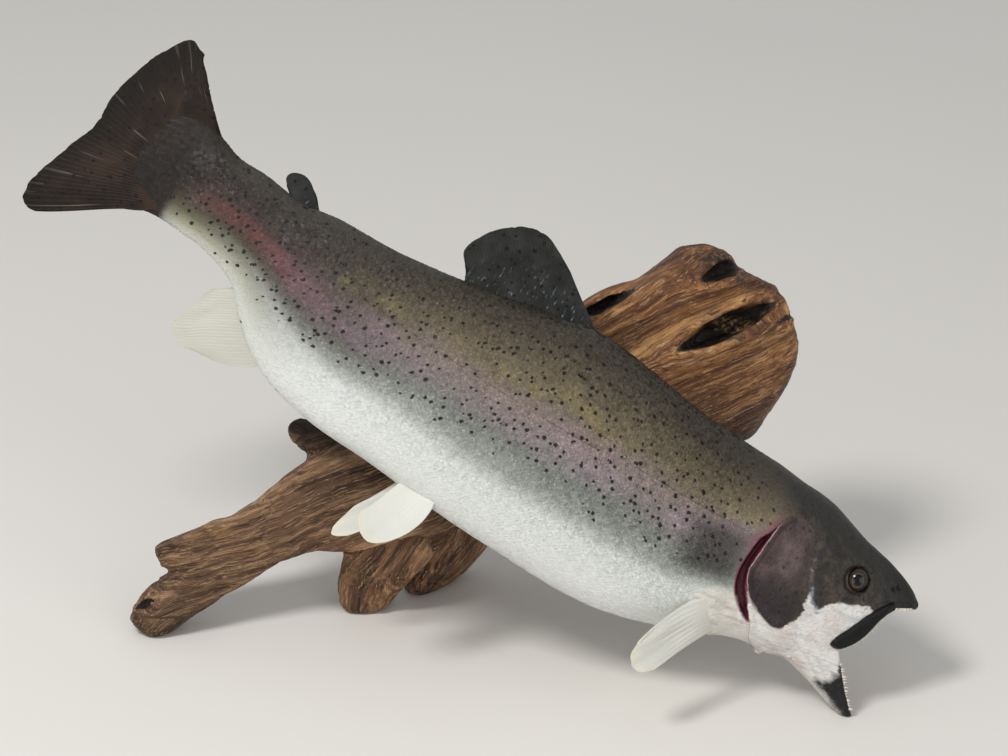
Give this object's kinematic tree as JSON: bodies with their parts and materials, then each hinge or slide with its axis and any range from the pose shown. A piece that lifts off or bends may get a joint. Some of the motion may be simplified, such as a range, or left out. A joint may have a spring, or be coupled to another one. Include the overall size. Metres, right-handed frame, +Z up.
{
  "type": "mounted trout",
  "caption": "Mounted rainbow trout with an open mouth, curved along a piece of driftwood that stands on its roots, leaning back.",
  "frame": {"origin": "middle of the bounding box on the surface that the mount stands on", "axes": "+X towards the fish's head, -Y towards the viewer of its right side, +Z up"},
  "size_m": [0.6302, 0.2751, 0.4035],
  "materials": {
    "driftwood": "matte",
    "dark_skin": "satin",
    "flank_skin": "satin",
    "pale_skin": "satin",
    "mouth_lining": "satin",
    "black_lip": "satin",
    "glass_eye": "polished",
    "dark_fin": "satin",
    "pale_fin": "satin"
  },
  "bodies": {
    "root": {"driftwood": "driftwood", "head": "dark_skin", "lower_jaw": "pale_skin", "tongue": "mouth_lining", "trunk": "flank_skin", "tail_stalk": "flank_skin", "gill_cover_right": "dark_skin", "gill_cover_left": "dark_skin", "maxilla_right": "black_lip", "maxilla_left": "black_lip", "eye_right": "glass_eye", "eye_left": "glass_eye", "pectoral_fin_right": "pale_fin", "pectoral_fin_left": "pale_fin", "tail_fin": "dark_fin", "dorsal_fin": "dark_fin", "adipose_fin": "dark_fin", "anal_fin": "pale_fin", "pelvic_fin_right": "pale_fin", "pelvic_fin_left": "pale_fin"}
  },
  "joints": []
}
